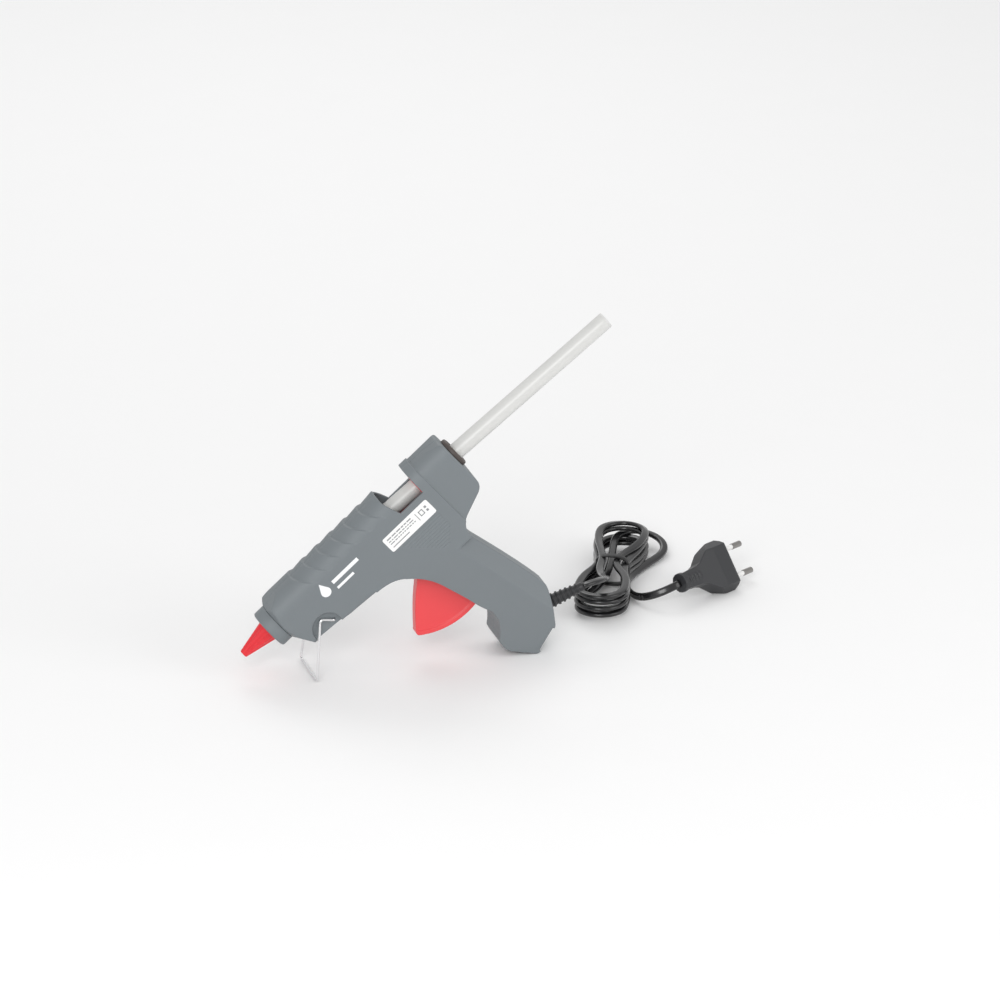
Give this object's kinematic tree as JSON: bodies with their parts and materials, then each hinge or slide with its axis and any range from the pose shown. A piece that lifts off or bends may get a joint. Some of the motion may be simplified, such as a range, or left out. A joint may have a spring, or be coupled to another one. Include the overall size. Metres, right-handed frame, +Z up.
{
  "type": "hot glue gun",
  "caption": "Hot glue gun with a trigger feed, heated nozzle, fold-out wire stand, glue stick and a mains lead tied in a hank with a two-pin plug.",
  "frame": {"origin": "on the table, under the middle of the gun with its stick, without the lead", "axes": "+Z up as it stands on its wire stand and the handle's foot, -X towards the nozzle, +Y to the side with the screw heads"},
  "size_m": [0.3615, 0.1647, 0.2212],
  "materials": {
    "grey_shell": "fine matt moulded grey",
    "red_silicone": "satin silicone",
    "brass_part": "machined",
    "steel": "plain steel",
    "cast_aluminium": "cast",
    "ceramic": "matt ceramic",
    "amber_film": "polyimide film",
    "insulating_board": "laminated board",
    "hot_melt": "translucent waxy resin",
    "dark_plastic": "matt",
    "red_plastic": "satin moulded",
    "plated_wire": "bright plated wire",
    "white_label": "printed film",
    "white_ink": "pad print",
    "black_rubber": "satin",
    "black_pvc": "glossy sheath",
    "brown_pvc": "satin",
    "blue_pvc": "satin",
    "black_tie": "coated wire",
    "charcoal_pvc": "satin moulded",
    "nickel_pins": "nickel plated",
    "white_sleeve": "moulded nylon"
  },
  "bodies": {
    "gun": {"housing_left": "grey_shell", "housing_right": "grey_shell", "nose_ring": "grey_shell", "nozzle_cover": "red_silicone", "nozzle_tip": "brass_part", "melt_chamber": "cast_aluminium", "heater_pill": "ceramic", "electrode_live": "brass_part", "electrode_neutral": "brass_part", "heater_wrap": "amber_film", "heater_clip": "steel", "inlet_sleeve": "red_silicone", "sleeve_clamp": "steel", "support_front": "insulating_board", "support_rear": "insulating_board", "stick_guide": "dark_plastic", "trigger_pin": "steel", "trigger_spring": "steel", "housing_screws": "steel", "rating_label": "white_label", "printed_mark": "white_ink", "strain_relief": "black_rubber", "cord_entry": "black_pvc", "cord_clamp": "dark_plastic", "clamp_screws": "steel", "lead_live": "brown_pvc", "lead_neutral": "blue_pvc", "crimp_terminals": "brass_part", "cord_lead": "black_pvc", "cord_hank": "black_pvc", "cord_loop": "black_pvc", "cord_tail": "black_pvc", "cord_tie": "black_tie", "plug_body": "charcoal_pvc", "plug_pins": "nickel_pins", "pin_sleeves": "white_sleeve"},
    "trigger_lever": {"trigger": "red_plastic", "drive_pin": "steel"},
    "carriage": {"feed_carriage": "red_plastic", "jaw_pin": "steel"},
    "jaw": {"grip_jaw": "steel"},
    "stick": {"glue_stick": "hot_melt"},
    "stand": {"stand_wire": "plated_wire"},
    "valve": {"check_ball": "steel", "check_spring": "steel"}
  },
  "joints": [
    {"name": "trigger_squeeze", "type": "hinge", "parent": "gun", "child": "trigger_lever", "pos_m": [-0.00658, 0, 0.0674], "axis": [0, -1, 0], "range_deg": [0, 25], "stiffness_Nm_per_rad": 0.6, "springref_deg": -14.32, "deforming": ["trigger_spring"]},
    {"name": "carriage_feed", "type": "slide", "parent": "gun", "child": "carriage", "axis": [-0.7512, 0, -0.6601], "range_m": [0, 0.01145]},
    {"name": "jaw_grip", "type": "hinge", "parent": "carriage", "child": "jaw", "pos_m": [-0.00956, 0, 0.09806], "axis": [0, -1, 0], "range_deg": [0, 2]},
    {"name": "stick_slide", "type": "slide", "parent": "gun", "child": "stick", "axis": [-0.7836, 0, -0.6212], "range_m": [-0.06, 0.0112]},
    {"name": "stand_fold", "type": "hinge", "parent": "gun", "child": "stand", "pos_m": [-0.06405, 0, 0.03887], "axis": [0, -1, 0], "range_deg": [0, 134]},
    {"name": "valve_lift", "type": "slide", "parent": "gun", "child": "valve", "axis": [-0.7512, 0, -0.6601], "range_m": [0, 0.0008], "stiffness_N_per_m": 400, "springref_m": -0.001}
  ],
  "couplings": [
    {"joint": "carriage_feed", "follows": "trigger_squeeze", "m_per_rad": 0.025794},
    {"joint": "jaw_grip", "follows": "trigger_squeeze", "ratio": 0.06}
  ]
}
